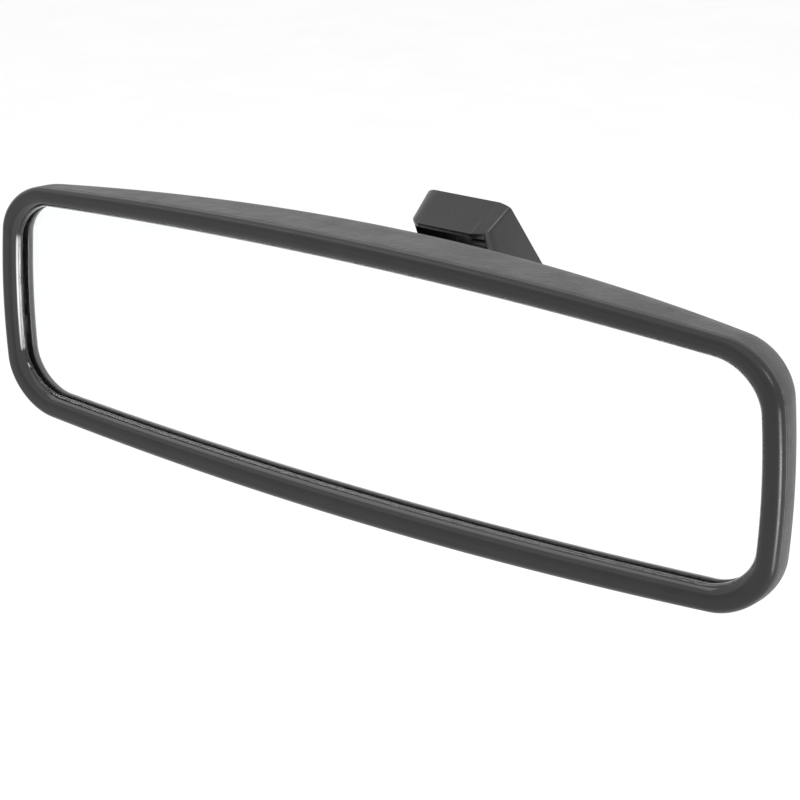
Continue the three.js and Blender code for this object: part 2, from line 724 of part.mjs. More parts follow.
// The foot seen along the windscreen, with its nose's corners rounded, leaning as the front does.
function noseBlock() {
  const half = FOOT_WIDTH / 2;
  const shape = new THREE.Shape();
  shape.moveTo(half, 1);
  shape.lineTo(-half, 1);
  shape.absarc(NOSE.corner - half, NOSE.y + NOSE.corner, NOSE.corner, Math.PI, 1.5 * Math.PI);
  shape.absarc(half - NOSE.corner, NOSE.y + NOSE.corner, NOSE.corner, 1.5 * Math.PI, 2 * Math.PI);
  const top = FOOT_TOP + NOSE.rise;
  const [frontY, frontZ] = COVER_OUTER[2];
  const lean = (frontY - NOSE.y) / (top - frontZ);
  const reach = 1 + top - FOOT_BOTTOM;
  const block = new THREE.ExtrudeGeometry(shape, { depth: reach, bevelEnabled: false, curveSegments: 4 });
  const position = block.translate(0, 0, top + 1 - reach).getAttribute("position");
  for (let i = 0; i < position.count; i++) {
    if (position.getY(i) < 1) {
      position.setY(i, position.getY(i) + lean * (top - position.getZ(i)));
    }
  }
  return block;
}

function footCover() {
  const half = FOOT_WIDTH / 2;
  const shell = common(prismX(COVER_OUTER, FOOT_WIDTH + 1), footBlock(0, FOOT_DEPTH));
  const hollow = common(
    prismX(COVER_INNER, FOOT_WIDTH - 2 * FOOT_WALL),
    footBlock(FOOT_WALL, FOOT_DEPTH),
  );
  const outer = tapered(common(shell, noseBlock()), half);
  return named("foot_cover", cut(outer, tapered(hollow, half)), footPlastic);
}

// ---------------------------------------------------------------- assembly

const foot = new THREE.Group();
foot.rotation.x = radians(RAKE);
foot.updateMatrix();
foot.add(adhesivePad(), windscreenPlate(), retainingSpring(), lockingScrew(), footCover());

const head = new THREE.Group();
head.position.set(0, -HEAD_TO_FOOT_Y, -HEAD_TO_FOOT_Z);
head.updateMatrix();
head.add(frontBezel(), chromeLayer(), mirrorGlass(), backingFoam(), carrierPlate(), rearHousing());
head.add(ballLiner(), pressureCup(), socketCap(), discSpring());
socketScrewSpots.forEach((spot, i) => head.add(socketScrew(i + 1, spot)));
carrierScrewSpots.forEach((spot, i) => head.add(carrierScrew(i + 1, spot)));

const mirror = new THREE.Group();
mirror.add(foot, head, mountingArm(foot.matrix, head.matrix));

export default mirror;
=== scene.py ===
"""Interior rearview mirror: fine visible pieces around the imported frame, finishes, light and camera.

Shapes are worked out in millimetres in two local frames and then placed in the row frame in metres.
Head frame: x = 0 at the head's middle, z = 0 at mid-height, y = 0 at the bezel's front, +y forward.
Foot frame: y = 0 on the windscreen, -y towards the driver, +z up the windscreen.
"""

import json
import math

import bmesh
import bpy
import numpy as np
from mathutils import Matrix, Vector
from mathutils.bvhtree import BVHTree


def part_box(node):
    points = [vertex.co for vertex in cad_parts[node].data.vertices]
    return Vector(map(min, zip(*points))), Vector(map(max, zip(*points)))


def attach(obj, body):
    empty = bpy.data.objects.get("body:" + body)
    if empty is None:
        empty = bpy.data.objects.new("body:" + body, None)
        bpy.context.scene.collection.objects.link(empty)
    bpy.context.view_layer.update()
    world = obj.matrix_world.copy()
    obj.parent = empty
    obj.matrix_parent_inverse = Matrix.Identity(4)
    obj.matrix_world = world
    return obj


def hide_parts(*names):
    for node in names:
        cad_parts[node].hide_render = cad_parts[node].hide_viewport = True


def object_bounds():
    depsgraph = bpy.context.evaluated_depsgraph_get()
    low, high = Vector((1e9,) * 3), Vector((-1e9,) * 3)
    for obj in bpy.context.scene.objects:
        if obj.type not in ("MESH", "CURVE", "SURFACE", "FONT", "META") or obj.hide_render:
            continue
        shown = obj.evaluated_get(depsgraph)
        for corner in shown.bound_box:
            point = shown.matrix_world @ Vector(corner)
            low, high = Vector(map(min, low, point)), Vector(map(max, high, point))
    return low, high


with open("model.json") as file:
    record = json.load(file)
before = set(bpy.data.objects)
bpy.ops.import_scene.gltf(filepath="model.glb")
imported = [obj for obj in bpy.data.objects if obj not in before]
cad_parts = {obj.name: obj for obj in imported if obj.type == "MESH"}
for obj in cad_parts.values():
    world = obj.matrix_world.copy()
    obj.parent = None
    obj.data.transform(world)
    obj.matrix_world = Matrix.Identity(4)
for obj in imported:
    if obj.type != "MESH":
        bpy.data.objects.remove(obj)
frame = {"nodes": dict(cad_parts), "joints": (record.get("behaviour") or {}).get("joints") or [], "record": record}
cad_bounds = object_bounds()

# ---------------------------------------------------------------- frames and driving sizes

MM = 0.001
bezel_low, bezel_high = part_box("front_bezel")
head_origin = Vector((0, bezel_low.y, (bezel_low.z + bezel_high.z) / 2))
ball_centre = Vector(frame["joints"][0]["pos_m"])
windscreen_normal = Vector(frame["record"]["mounts"][0]["axis"])
rake = math.atan2(windscreen_normal.z, windscreen_normal.y)
PLACE_HEAD = Matrix.Translation(head_origin) @ Matrix.Scale(MM, 4)
PLACE_BALL = Matrix.Translation(ball_centre) @ Matrix.Scale(MM, 4)
PLACE_FOOT = Matrix.Rotation(rake, 4, "X") @ Matrix.Scale(MM, 4)

# the head's outline
HEAD_WIDTH = 240
HEAD_HEIGHT = 68.6
CORNER_TOP = 13.7
CORNER_BOTTOM = 14.7
CROWN_TOP = 0.1285  # the share of its height that the upper edge loses at the head's ends
CROWN_BOTTOM = 0.139
SIDE_BOW = 0.0226  # the share of its width that the head loses at its top and bottom
INSIDE_CAD = 0.02  # the visible outline stays this far inside the frame's

# bezel, glass and reflecting layer
LIP_WIDTH = 5.65
LIP_EXTRA_BELOW = 1.2  # the lip is wider along the bottom
LIP_CORNER_EXTRA = 3  # the window's corners are rounder than the outline's
LIP_DEPTH = 3.1
OUTER_ROUNDING = 1.9
INNER_ROUNDING = 2.6
POLISHED_FROM = 4.3  # the inset where the lip's polished inner edge begins
SMALL_EDGE, WALL_EDGE, SKIRT_EDGE = 0.1, 0.12, 0.2  # the bezel's other corners
GLASS_FRONT = 3.15  # the glass lies against the lip
GLASS_BACK = 4.95
GLASS_EDGE = 0.3
CHROME_GAP = 0.02
CHROME_THICKNESS = 0.1
CHROME_EDGE = 0.03
SKIRT_INNER = 3
SKIRT_OUTER = 2.1
SKIRT_END = 5.4
SEAM = 2.1  # depth of the seam between bezel and housing
SEAM_GAP = 0.25

# housing
SHELL = 1.4
WALL_END, WALL_MIDDLE = 2.6, 15.8  # depth of the side wall at the head's ends and at its middle
ROUND_END, ROUND_MIDDLE = 10.8, 11.5  # depth of the rounding behind it
ROUND_SPREAD = 0.87  # how far the rounding reaches inwards for its depth
DRAFT = 0.02  # how far the side wall leans in for its depth
BACK_CROWN = 1.2  # how far the back bulges at its middle
BACK_EASE = 1.15  # draws the back's rings closer together towards its edge
WALL_RINGS, ROUND_RINGS, BACK_RINGS = 9, 17, 27
SWELL_MARGIN = 2  # the housing's swelling ends this far from the head's ends
HOUSING_EDGE = 0.3
RIM_SUPPORT = 0.02  # a ring this far behind the rim keeps it flat
ARM_OPENING = 10.8
# the opening's rounded edge, as (wider by, deeper by)
OPENING_RIM = ((0.45, 0.05), (0.12, 0.25), (0, 0.6), (0, 0.9), (0.3, 1.25))

# ball joint
BALL_RADIUS = 7.5
LINER_INNER = 7.8
LINER_OUTER = 9
SOCKET_INNER = 9.3
SOCKET_OUTER = 11.2
MOUTH_ANGLE = 58  # in degrees from +y, about the ball's centre
LINER_END_ANGLE = 96
FLANGE_RADIUS = 19
FLANGE_THICKNESS = 1.8
FLANGE_EDGE = 0.3
SCREW_HOLE_RADIUS = 1.6
DRILL_REACH = 4  # to each side of the flange's middle
NECK_RADIUS = 4
STALK_RADIUS = 6
NECK_START = BALL_RADIUS + 1.5  # where the neck begins to widen, from the ball's centre
NECK_LENGTH = 11
STALK_END_Y = -4  # in the row frame, inside the arm's base

# foot cover
FOOT_WIDTH = 26
FOOT_TAPER = 0.12  # what each side leans in for its distance from the windscreen
FOOT_TOP = 24.9
FOOT_BOTTOM = -24
FOOT_WALL = 1
COVER_RIM = -0.4
NOSE_Y, NOSE_RISE, NOSE_CORNER = -11.3, 0.3, 4.5
# half the width of the top's flat, and the radii of its shoulders and of the corners below them
TOP_FLAT, TOP_DROP, TOP_CORNER = 8.8, 6.8, 1.3
TAIL_CORNER = 3
SHARP = 0.05  # the least radius of a corner
COVER_FRONT = (-22.5, -13)  # where the front's straight edge ends, as (y, z)
HOLLOW_FRONT_Y = -30  # past the nose, because the cover is open at its front
PLAN_LEVELS = (-40, 5)  # from past the nose to past the windscreen
COVER_BEVEL = 0.3

# the arm's base
ARM_SIDE_GAP = 0.9  # between the arm's base and the cover's walls
BASE_NEAR_Y, BASE_FAR_Y = -1.4, -18  # near and far are from the windscreen
BASE_LOW_Z, BASE_HIGH_Z = -20, 7
PAST_BASE = (BASE_LOW_Z - 10, BASE_HIGH_Z + 10)  # the cutters run out through both ends
BASE_BEVEL = 0.8
PLATE_NEAR_Y, PLATE_FAR_Y = -1.1, -3.6
CHANNEL_MOUTH, CHANNEL_BACK = 7.5, 8.7  # half widths of the dovetail channel
CHANNEL_GAP = 0.3  # between the channel and the plate
CHANNEL_OUT = 5  # how far its cutter runs out past the plate
SLOT_HALF_WIDTH = 3.5
SLOT_NEAR_Y, SLOT_FAR_Y = -2, -4.6
LOCK_BORE_RADIUS = 2.4
LOCK_BORE_Z = 2


# ---------------------------------------------------------------- mesh helpers

ON_AXIS = 1e-6  # a smaller radius is a point on the axis
BEVEL_SEGMENTS = 3


def new_object(name, verts, faces, place):
    """A closed mesh with its faces out and smooth, placed in the row frame."""
    mesh = bpy.data.meshes.new(name)
    mesh.from_pydata([tuple(map(float, v)) for v in verts], [], faces)
    mesh.transform(place)
    built = bmesh.new()
    built.from_mesh(mesh)
    bmesh.ops.recalc_face_normals(built, faces=built.faces)
    built.to_mesh(mesh)
    built.free()
    mesh.shade_smooth()
    obj = bpy.data.objects.new(name, mesh)
    bpy.context.scene.collection.objects.link(obj)
    return obj


def ring_faces(rings, count, closed):
    """Quads between rings of count points each, the last ring joined to the first if closed."""
    faces = []
    for ring in range(rings if closed else rings - 1):
        a, b = ring * count, (ring + 1) % rings * count
        for i in range(count):
            j = (i + 1) % count
            faces.append((a + i, a + j, b + j, b + i))
    return faces


def loft(name, rings, place, closed=True):
    """A surface through rings of points (K, N, 3). It closes on itself, or is capped at both ends."""
    rings = np.asarray(rings, float)
    count = rings.shape[1]
    faces = ring_faces(len(rings), count, closed)
    if not closed:
        last = (len(rings) - 1) * count
        faces.append(tuple(range(count)))
        faces.append(tuple(range(last, last + count)))
    return new_object(name, rings.reshape(-1, 3), faces, place)


def lathe(name, profile, place, steps=96):
    """Turns a profile of (radius, y) about Y. It closes on itself, or starts and ends on the axis."""
    turns = [2 * math.pi * i / steps for i in range(steps)]
    verts, rows = [], []
    for radius, y in profile:
        if radius < ON_AXIS:
            rows.append([len(verts)] * steps)
            verts.append((0, y, 0))
        else:
            rows.append(list(range(len(verts), len(verts) + steps)))
            verts += [(radius * math.cos(t), y, radius * math.sin(t)) for t in turns]
    pairs = list(zip(rows, rows[1:]))
    if profile[0][0] >= ON_AXIS:
        pairs.append((rows[-1], rows[0]))
    faces = []
    for low, high in pairs:
        for i in range(steps):
            j = (i + 1) % steps
            face = dict.fromkeys((low[i], low[j], high[j], high[i]))
            if len(face) > 2:
                faces.append(tuple(face))
    return new_object(name, verts, faces, place)


def prism(name, outline, low, high, to_point):
    """Extrudes an outline in the foot frame between two levels. to_point(u, v, level) gives each vertex."""
    count = len(outline)
    verts = [to_point(u, v, level) for level in (low, high) for u, v in outline]
    faces = [tuple(range(count)), tuple(range(count, 2 * count))]
    faces += [(i, (i + 1) % count, count + (i + 1) % count, count + i) for i in range(count)]
    return new_object(name, verts, faces, PLACE_FOOT)


def apply_modifiers(obj):
    """Gives the object the mesh that its modifiers make, in place of them."""
    bpy.context.view_layer.update()
    result = bpy.data.meshes.new_from_object(obj.evaluated_get(bpy.context.evaluated_depsgraph_get()))
    obj.modifiers.clear()
    obj.data = result


def boolean(obj, other, operation):
    """Cuts or joins obj with other, and removes other."""
    step = obj.modifiers.new("boolean", "BOOLEAN")
    step.operation = operation
    step.solver = "EXACT"
    step.object = other
    apply_modifiers(obj)
    bpy.data.objects.remove(other)


def drill(obj, radius, low, high, place, steps):
    """Cuts a round hole along Y between two levels."""
    profile = [(0, low), (radius, low), (radius, high), (0, high)]
    boolean(obj, lathe("drill", profile, place, steps), "DIFFERENCE")


def bevel(obj, width, angle):
    """Rounds every edge that turns by more than angle, in degrees."""
    step = obj.modifiers.new("bevel", "BEVEL")
    step.width = width * MM
    step.segments = BEVEL_SEGMENTS
    step.limit_method = "ANGLE"
    step.angle_limit = math.radians(angle)
    step.use_clamp_overlap = True
    apply_modifiers(obj)


def smooth_below(obj, angle):
    """Smooth shading, with edges over angle degrees kept sharp."""
    obj.data.shade_smooth()
    obj.data.set_sharp_from_angle(angle=math.radians(angle))
    return obj


def arc(radius, start, end, steps):
    """Points (r, y) of an arc about the origin, with angles in degrees from +y."""
    turns = [math.radians(start + (end - start) * i / steps) for i in range(steps + 1)]
    return [(radius * math.sin(t), radius * math.cos(t)) for t in turns]


def rounded(corners, steps=6, support=0.12):
    """A closed path through (u, v, radius) corners, each rounded by an arc of that radius.

    Straight stretches get a support point close to each end, so that smooth shading stays flat there.
    """
    points = [np.array(c[:2], float) for c in corners]
    path = []
    for i, (*_, radius) in enumerate(corners):
        here, before, after = points[i], points[i - 1], points[(i + 1) % len(points)]
        back = (before - here) / np.linalg.norm(before - here)
        ahead = (after - here) / np.linalg.norm(after - here)
        half = math.acos(np.clip(back @ ahead, -1, 1)) / 2
        reach = radius / math.tan(half)
        centre = here + (back + ahead) / np.linalg.norm(back + ahead) * radius / math.sin(half)
        first, last = here + back * reach - centre, here + ahead * reach - centre
        path.append(here + back * (reach + support))
        turn = math.pi - 2 * half
        for step in range(steps + 1):
            t = step / steps
            a, b = math.sin((1 - t) * turn) / math.sin(turn), math.sin(t * turn) / math.sin(turn)
            path.append(centre + a * first + b * last)
        path.append(here + ahead * (reach + support))
    return np.array(path)


# ---------------------------------------------------------------- the head's outline

CORNER_STEPS = 22
LONG_STEPS = 96
SHORT_STEPS = 22


def base_outline(inset, share):
    """x, z and the outward normal's angle along the rounded rectangle, `inset` inside the outline.

    share is how far the inset reaches across the lip, whose window has rounder corners and a higher
    lower edge.
    """
    half_x = HEAD_WIDTH / 2 - inset
    top = HEAD_HEIGHT / 2 - inset
    bottom = top - LIP_EXTRA_BELOW * share
    rounder = LIP_CORNER_EXTRA * share - inset
    corners = [
        (1, top, CORNER_TOP),
        (-1, top, CORNER_TOP),
        (-1, -bottom, CORNER_BOTTOM),
        (1, -bottom, CORNER_BOTTOM),
    ]
    centres = []
    for side, z, radius in corners:
        r = radius + rounder
        centres.append((side * (half_x - r), z - math.copysign(r, z), r))
    points = []
    for side, (cx, cz, radius) in enumerate(centres):
        start = side * math.pi / 2
        for step in range(CORNER_STEPS + 1):
            turn = start + math.pi / 2 * step / CORNER_STEPS
            points.append((cx + radius * math.cos(turn), cz + radius * math.sin(turn), turn))
        x0, z0, turn = points[-1]
        nx, nz, nr = centres[(side + 1) % 4]
        x1, z1 = nx + nr * math.cos(turn), nz + nr * math.sin(turn)
        steps = SHORT_STEPS if side % 2 else LONG_STEPS
        points += [(x0 + (x1 - x0) * s / steps, z0 + (z1 - z0) * s / steps, turn) for s in range(1, steps)]
    return np.array(points).T


BASE_X, BASE_Z, BASE_TURN = base_outline(INSIDE_CAD, 0)


def crowned(x, z):
    """Bends the rounded rectangle into the head's outline."""
    crown = np.where(z > 0, CROWN_TOP, CROWN_BOTTOM)
    bent_x = x * (1 - SIDE_BOW * (2 * z / HEAD_HEIGHT) ** 2)
    return bent_x, z * (1 - crown * (2 * x / HEAD_WIDTH) ** 2)


def outline(inset):
    """The head's outline moved in by a number, or by one number for each point, as (x, z)."""
    return crowned(BASE_X - inset * np.cos(BASE_TURN), BASE_Z - inset * np.sin(BASE_TURN))


def lip_ring(inset, y):
    """A ring of the bezel, whose lip is wider along the bottom and rounder at the window's corners."""
    share = max(0, (inset - SKIRT_INNER) / (LIP_WIDTH - SKIRT_INNER))
    x, z, _ = base_outline(inset + INSIDE_CAD, share)
    bent_x, bent_z = crowned(x, z)
    return np.stack([bent_x, np.full(x.shape, y), bent_z], axis=1)


def ring(inset, y):
    """A ring of the head's outline, moved in by inset, at depth y."""
    x, z = outline(inset)
    return np.stack([x, np.broadcast_to(y, x.shape), z], axis=1)


# ---------------------------------------------------------------- head pieces


def make_bezel():
    """The bezel, with its section and the number of points in each of its rings."""
    section = rounded(
        [
            (0, SEAM, SMALL_EDGE),
            (0, 0, OUTER_ROUNDING),
            (LIP_WIDTH, 0, INNER_ROUNDING),
            (LIP_WIDTH, LIP_DEPTH, WALL_EDGE),
            (SKIRT_INNER, LIP_DEPTH, SMALL_EDGE),
            (SKIRT_INNER, SKIRT_END, SKIRT_EDGE),
            (SKIRT_OUTER, SKIRT_END, SKIRT_EDGE),
            (SKIRT_OUTER, SEAM, SMALL_EDGE),
        ],
        steps=9,
        support=0.02,
    )
    rings = [lip_ring(inset, y) for inset, y in section]
    return loft("bezel", rings, PLACE_HEAD), section, len(rings[0])


def polish_window_edge(bezel, section, count, material):
    """Gives the bezel's inner rounding and wall, which a polished core moulds, a glossier finish."""
    bezel.data.materials.append(material)
    for face in bezel.data.polygons:
        here = face.index // count
        after = (here + 1) % len(section)
        inset, y = (section[here] + section[after]) / 2
        if inset > POLISHED_FROM and y < LIP_DEPTH:
            face.material_index = 1


def slab_rings(inset, front, back, edge):
    """Rings of a plate whose edges are rounded by edge. Two more rings on each face keep it flat."""
    turns = [math.radians(a) for a in (90, 60, 30, 0)]
    round_off = [edge * (1 - math.cos(a)) for a in turns]
    round_in = [edge * (1 - math.sin(a)) for a in turns]
    support, inner = inset + 1.2 * edge, inset + 4 * edge
    rings = [ring(inner, front), ring(support, front)]
    rings += [ring(inset + i, front + y) for i, y in zip(round_off, round_in)]
    rings += [ring(inset + i, back - y) for i, y in zip(round_off[::-1], round_in[::-1])]
    return rings + [ring(support, back), ring(inner, back)]


def make_glass():
    inset = HEAD_WIDTH / 2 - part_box("mirror_glass")[1].x / MM
    rings = slab_rings(inset, GLASS_FRONT, GLASS_BACK, GLASS_EDGE)
    return loft("glass_plate", rings, PLACE_HEAD, closed=False)


def make_chrome_layer():
    inset = HEAD_WIDTH / 2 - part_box("chrome_layer")[1].x / MM
    front = GLASS_BACK + CHROME_GAP
    rings = slab_rings(inset, front, front + CHROME_THICKNESS, CHROME_EDGE)
    return loft("mirror_surface", rings, PLACE_HEAD, closed=False)


def swell(x):
    """1 at the middle of the head and 0 at its ends."""
    return np.maximum(0, 1 - (x / (HEAD_WIDTH / 2 - SWELL_MARGIN)) ** 2)


def wall_depth(x):
    """Where the housing's side wall ends and its rounding begins."""
    return WALL_END + (WALL_MIDDLE - WALL_END) * swell(x)


def rounding(x):
    """The depth of the rounding between the housing's side wall and its back."""
    return ROUND_END + (ROUND_MIDDLE - ROUND_END) * swell(x)


def skin(offset, rim):
    """Rings of one skin of the housing, from its rim to the arm's opening."""
    wall, radius = wall_depth(BASE_X), rounding(BASE_X)
    rings = []
    for share in np.linspace(0, 1, WALL_RINGS)[1:-1]:
        depth = rim + (wall - rim) * share
        rings.append(ring(offset + DRAFT * wall * share, depth))
    for turn in np.radians(np.linspace(0, 90, ROUND_RINGS)):
        inset = offset + DRAFT * wall + (ROUND_SPREAD * radius - offset) * (1 - math.cos(turn))
        x, z = outline(inset)
        rings.append(np.stack([x, wall_depth(x) + (rounding(x) - offset) * math.sin(turn), z], axis=1))
    edge_x, edge_z = rings[-1][:, 0], rings[-1][:, 2]
    around = np.arctan2(edge_z * HEAD_WIDTH / HEAD_HEIGHT, edge_x)
    hole = ARM_OPENING + 1
    for share in np.linspace(0, 1, BACK_RINGS)[1:]:
        ease = share ** BACK_EASE
        x = edge_x * (1 - ease) + hole * np.cos(around) * ease
        z = edge_z * (1 - ease) + hole * np.sin(around) * ease
        crown = BACK_CROWN * (1 - (1 - share) ** 2) ** 2 * swell(x)
        rings.append(np.stack([x, wall_depth(x) + rounding(x) - offset + crown, z], axis=1))
    return rings


def make_housing():
    """The shell: its rounded rim, its outer skin, the opening's edge and the inner skin back to the rim."""
    rim, edge = SEAM + SEAM_GAP, HOUSING_EDGE
    quarter = np.radians([0, 22.5, 45, 67.5, 90])
    outer = [ring(edge * (1 - math.sin(a)), rim + edge * (1 - math.cos(a))) for a in quarter]
    outer += skin(0, rim + edge)
    inner = [ring(SHELL, rim + RIM_SUPPORT), *skin(SHELL, rim)]
    last = outer[-1]
    around = np.arctan2(last[:, 2], last[:, 0])
    opening = []
    for radius, depth in OPENING_RIM:
        reach = ARM_OPENING + radius
        x, z = reach * np.cos(around), reach * np.sin(around)
        opening.append(np.stack([x, last[:, 1] - depth, z], axis=1))
    return loft("housing", [*outer, *opening, *inner[::-1]], PLACE_HEAD)


# ---------------------------------------------------------------- ball joint


def make_liner():
    """The bearing ring between the ball and the socket, a band of a spherical shell."""
    inner = arc(LINER_INNER, MOUTH_ANGLE, LINER_END_ANGLE, 14)
    outer = arc(LINER_OUTER, LINER_END_ANGLE, MOUTH_ANGLE, 14)
    return smooth_below(lathe("bearing_ring", [*inner, *outer], PLACE_BALL), 40)


def make_socket():
    """The socket's front half: a cup with a mouth for the neck, and a flange with four screw holes."""
    bottom = (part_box("socket_cap")[0].y - ball_centre.y) / MM
    top = bottom + FLANGE_THICKNESS
    profile = [
        *arc(SOCKET_INNER, MOUTH_ANGLE, 90, 14),
        (SOCKET_INNER, bottom + FLANGE_EDGE),
        (SOCKET_INNER + FLANGE_EDGE, bottom),
        (FLANGE_RADIUS - FLANGE_EDGE, bottom),
        (FLANGE_RADIUS, bottom + FLANGE_EDGE),
        (FLANGE_RADIUS, top - FLANGE_EDGE),
        (FLANGE_RADIUS - FLANGE_EDGE, top),
        (SOCKET_OUTER + 0.8, top),
        (SOCKET_OUTER + 0.2, top + 0.3),
        (SOCKET_OUTER, top + 1),
        (SOCKET_OUTER, 0),
        *arc(SOCKET_OUTER, 84, MOUTH_ANGLE + 3, 8),
        *arc(SOCKET_OUTER - 0.5, MOUTH_ANGLE, MOUTH_ANGLE - 0.5, 1),
    ]
    socket = lathe("ball_socket", profile, PLACE_BALL)
    flange_y = ball_centre.y + (bottom + top) / 2 * MM
    for number in range(1, 5):
        low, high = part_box(f"socket_screw_{number}")
        middle = (low + high) / 2
        place = Matrix.Translation((middle.x, flange_y, middle.z)) @ Matrix.Scale(MM, 4)
        drill(socket, SCREW_HOLE_RADIUS, -DRILL_REACH, DRILL_REACH, place, 32)
    return smooth_below(socket, 35)


def along_x(u, v, level):
    return (level, u, v)


def along_z(u, v, level):
    return (u, v, level)


def tapered(obj, half_width):
    """Leans a foot piece's two sides in. half_width is the piece's at the windscreen."""
    to_foot = PLACE_FOOT.inverted()
    for vertex in obj.data.vertices:
        point = to_foot @ vertex.co
        point.x *= 1 + FOOT_TAPER * point.y / half_width
        vertex.co = PLACE_FOOT @ point
    return obj


def make_stalk():
    """The ball, the neck that widens from it and the stalk that ends inside the arm's base."""
    reach = STALK_END_Y - ball_centre.y / MM
    neck = []
    for share in np.linspace(0, 1, 13):
        widening = (STALK_RADIUS - NECK_RADIUS) * (1 - math.cos(math.pi * share)) / 2
        neck.append((NECK_RADIUS + widening, NECK_START + NECK_LENGTH * share))
    profile = [
        (0, -BALL_RADIUS),
        *arc(BALL_RADIUS, 177, 40, 44),
        (NECK_RADIUS + 0.35, BALL_RADIUS - 0.9),
        (NECK_RADIUS + 0.05, BALL_RADIUS),
        *neck,
        (STALK_RADIUS, reach),
        (0, reach),
    ]
    return lathe("stalk", profile, PLACE_BALL, 80)


def make_arm():
    """The cast arm, whose base has a dovetail channel for the windscreen plate and a slot for the leaf."""
    base_profile = rounded(
        [
            (BASE_NEAR_Y, BASE_LOW_Z, 0.4),
            (-10, BASE_LOW_Z, 1.5),
            (BASE_FAR_Y, -16.5, 2),
            (BASE_FAR_Y, -4, 2),
            (-9, BASE_HIGH_Z, 2),
            (BASE_NEAR_Y, BASE_HIGH_Z, 0.4),
        ],
        steps=5,
    )
    channel = [
        (-CHANNEL_MOUTH, PLATE_NEAR_Y + CHANNEL_OUT),
        (-CHANNEL_MOUTH, PLATE_NEAR_Y + CHANNEL_GAP),
        (-CHANNEL_BACK, PLATE_FAR_Y - CHANNEL_GAP),
        (CHANNEL_BACK, PLATE_FAR_Y - CHANNEL_GAP),
        (CHANNEL_MOUTH, PLATE_NEAR_Y + CHANNEL_GAP),
        (CHANNEL_MOUTH, PLATE_NEAR_Y + CHANNEL_OUT),
    ]
    slot = [
        (-SLOT_HALF_WIDTH, SLOT_FAR_Y),
        (SLOT_HALF_WIDTH, SLOT_FAR_Y),
        (SLOT_HALF_WIDTH, SLOT_NEAR_Y),
        (-SLOT_HALF_WIDTH, SLOT_NEAR_Y),
    ]
    half = FOOT_WIDTH / 2 - FOOT_WALL - ARM_SIDE_GAP
    arm = tapered(prism("arm_casting", base_profile, -half, half, along_x), half)
    bevel(arm, BASE_BEVEL, 50)
    boolean(arm, make_stalk(), "UNION")
    boolean(arm, prism("channel", channel, *PAST_BASE, along_z), "DIFFERENCE")
    boolean(arm, prism("slot", slot, *PAST_BASE, along_z), "DIFFERENCE")
    place = PLACE_FOOT @ Matrix.Translation((0, 0, LOCK_BORE_Z))
    drill(arm, LOCK_BORE_RADIUS, BASE_FAR_Y - 2, 1, place, 40)
    return smooth_below(arm, 32)


# ---------------------------------------------------------------- foot


def foot_outline(inset):
    """The foot seen square to the windscreen: a flat top with round shoulders, and a rounded tail."""
    half = FOOT_WIDTH / 2
    top = FOOT_TOP
    turn = math.acos((half - TOP_CORNER - TOP_FLAT) / (TOP_DROP - TOP_CORNER))
    corner_z = top - TOP_DROP + (TOP_DROP - TOP_CORNER) * math.sin(turn)
    tail = TAIL_CORNER - inset
    arcs = [
        (half - TAIL_CORNER, FOOT_BOTTOM + TAIL_CORNER, tail, -math.pi / 2, 0, 8),
        (half - TOP_CORNER, corner_z, max(TOP_CORNER - inset, SHARP), 0, turn, 6),
        (TOP_FLAT, top - TOP_DROP, TOP_DROP - inset, turn, math.pi / 2, 8),
    ]
    right = []
    for centre_x, centre_z, radius, start, end, steps in arcs:
        for a in np.linspace(start, end, steps + 1):
            right.append((centre_x + radius * math.cos(a), centre_z + radius * math.sin(a)))
    return right + [(-x, z) for x, z in right[::-1]]


def climbing(u, v, level):
    """A point of the foot's outline, which climbs towards the nose as the foot's top does."""
    return (u, level, v + NOSE_RISE * (COVER_RIM - level) / (COVER_RIM - NOSE_Y))


def nose_block():
    """The foot seen along the windscreen, with its nose's corners rounded, leaning as the front does."""
    half = FOOT_WIDTH / 2
    front = [(half, 1), (-half, 1)]
    for side, start, end in ((-1, 180, 270), (1, 270, 360)):
        for a in np.radians(np.linspace(start, end, 9)):
            x = side * (half - NOSE_CORNER) + NOSE_CORNER * math.cos(a)
            front.append((x, NOSE_Y + NOSE_CORNER + NOSE_CORNER * math.sin(a)))
    top = FOOT_TOP + NOSE_RISE
    front_y, front_z = COVER_FRONT
    lean = (front_y - NOSE_Y) / (top - front_z)

    def leaning(u, v, level):
        return (u, v if v > 0 else v + lean * (top - level), level)

    return prism("nose", front, FOOT_BOTTOM - 1, top + 1, leaning)


